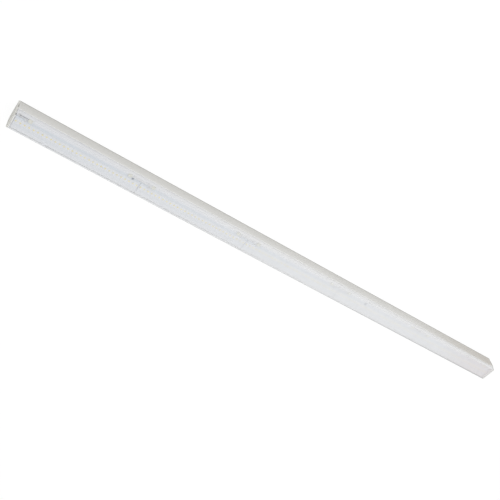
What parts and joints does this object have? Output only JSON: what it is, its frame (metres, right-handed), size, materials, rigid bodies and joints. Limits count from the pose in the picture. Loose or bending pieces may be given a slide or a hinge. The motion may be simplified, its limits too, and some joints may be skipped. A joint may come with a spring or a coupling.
{
  "type": "led linear light",
  "caption": "Slim surface-mounted LED linear light: painted channel with a clear snap-in cover over a row of LED boards, driver and terminals inside, flat end caps.",
  "frame": {"origin": "middle of the back face, which lies against the ceiling or wall in use", "axes": "+X along the light from the lead end to the far end, +Z out of the light-giving front"},
  "size_m": [1.2, 0.04, 0.0365],
  "materials": {
    "housing_paint": "warm white powder coat",
    "clear_cover": "clear, faintly milky polycarbonate",
    "cap_plastic": "white moulded plastic, satin",
    "tray_paint": "white painted sheet steel",
    "board_mask": "white solder mask",
    "led_package": "white package with pale yellow phosphor",
    "connector_plastic": "pale cream moulded plastic",
    "jumper_insulation": "pale grey wire insulation",
    "lead_insulation": "grey wire insulation",
    "bushing_plastic": "white plastic",
    "zinc_steel": "zinc plated steel",
    "grommet_rubber": "black rubber",
    "driver_case": "white moulded plastic case",
    "terminal_plastic": "natural nylon",
    "live_insulation": "brown wire insulation",
    "neutral_insulation": "blue wire insulation",
    "earth_insulation": "green and yellow wire insulation",
    "tinned_brass": "tinned"
  },
  "bodies": {
    "root": {"board_connectors_1": "connector_plastic", "board_connectors_2": "connector_plastic", "board_connectors_3": "connector_plastic", "board_connectors_4": "connector_plastic", "board_connectors_5": "connector_plastic", "board_screws": "zinc_steel", "cable_grommet": "grommet_rubber", "clamp_screws": "zinc_steel", "cover": "clear_cover", "driver": "driver_case", "earth_lug": "tinned_brass", "earth_wire": "earth_insulation", "end_cap_far": "cap_plastic", "end_cap_near": "cap_plastic", "end_cap_screws": "zinc_steel", "gear_screws": "zinc_steel", "gear_tray": "tray_paint", "housing": "housing_paint", "jumper_wires_1": "jumper_insulation", "jumper_wires_2": "jumper_insulation", "jumper_wires_3": "jumper_insulation", "jumper_wires_4": "jumper_insulation", "lead_wire_negative": "lead_insulation", "lead_wire_positive": "lead_insulation", "led_board_1": "board_mask", "led_board_2": "board_mask", "led_board_3": "board_mask", "led_board_4": "board_mask", "led_board_5": "board_mask", "leds_1": "led_package", "leds_2": "led_package", "leds_3": "led_package", "leds_4": "led_package", "leds_5": "led_package", "live_wire": "live_insulation", "neutral_wire": "neutral_insulation", "terminal_block": "terminal_plastic", "wire_bushing": "bushing_plastic"}
  },
  "joints": []
}
